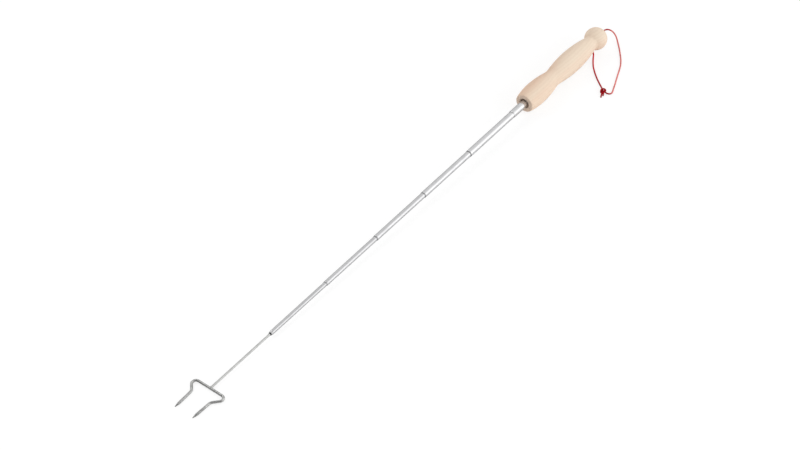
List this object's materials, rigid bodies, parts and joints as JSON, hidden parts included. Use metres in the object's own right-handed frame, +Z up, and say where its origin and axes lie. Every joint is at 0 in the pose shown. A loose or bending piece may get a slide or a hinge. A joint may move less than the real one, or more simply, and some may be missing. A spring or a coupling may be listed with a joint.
{
  "type": "campfire roasting fork",
  "caption": "Telescopic campfire roasting fork: bent two-prong wire fork on a rod, nested steel tubes, turned wooden handle, red wrist thong; pulled out, lying flat.",
  "frame": {"origin": "middle of the footprint of the pulled-out fork without its thong, on the table that it lies on", "axes": "+X along the shaft from the prongs to the ball of the handle, +Y towards the left prong seen from the handle, +Z up"},
  "size_m": [0.8145, 0.0901, 0.0329],
  "materials": {
    "beech": "turned and sanded, no varnish",
    "drawn_steel": "bright drawn stainless steel",
    "rod_steel": "plain stainless steel wire",
    "spring_bronze": "thin rolled bronze",
    "brass": "turned",
    "black_rubber": "matt",
    "black_plastic": "matt",
    "thong": "round dyed lace"
  },
  "bodies": {
    "grip": {"handle": "beech", "outer_tube": "drawn_steel", "tube_plug": "black_plastic", "thong_inner": "thong", "thong_long": "thong", "thong_short": "thong", "thong_knot": "thong"},
    "stage_1": {"tube_1": "drawn_steel", "friction_spring_1": "spring_bronze"},
    "stage_2": {"tube_2": "drawn_steel", "friction_spring_2": "spring_bronze"},
    "stage_3": {"tube_3": "drawn_steel", "friction_spring_3": "spring_bronze"},
    "stage_4": {"tube_4": "drawn_steel", "friction_spring_4": "spring_bronze"},
    "stage_5": {"tube_5": "drawn_steel", "friction_spring_5": "spring_bronze", "mouth_bush": "black_rubber"},
    "rod_slider": {"stop_bush": "brass"},
    "fork": {"rod": "rod_steel", "fork_head": "rod_steel"}
  },
  "joints": [
    {"name": "stage_1_slide", "type": "slide", "parent": "grip", "child": "stage_1", "axis": [0.9998, 0, 0.0213], "range_m": [0, 0.0885]},
    {"name": "stage_2_slide", "type": "slide", "parent": "stage_1", "child": "stage_2", "axis": [0.9998, 0, 0.0213], "range_m": [0, 0.0885]},
    {"name": "stage_3_slide", "type": "slide", "parent": "stage_2", "child": "stage_3", "axis": [0.9998, 0, 0.0213], "range_m": [0, 0.0885]},
    {"name": "stage_4_slide", "type": "slide", "parent": "stage_3", "child": "stage_4", "axis": [0.9998, 0, 0.0213], "range_m": [0, 0.0885]},
    {"name": "stage_5_slide", "type": "slide", "parent": "stage_4", "child": "stage_5", "axis": [0.9998, 0, 0.0213], "range_m": [0, 0.0885]},
    {"name": "rod_slide", "type": "slide", "parent": "stage_5", "child": "rod_slider", "axis": [0.9998, 0, 0.0213], "range_m": [0, 0.0925]},
    {"name": "fork_swivel", "type": "hinge", "parent": "rod_slider", "child": "fork", "pos_m": [-0.25082, 0, 0.00448], "axis": [0.9998, 0, 0.0213], "continuous": true}
  ]
}
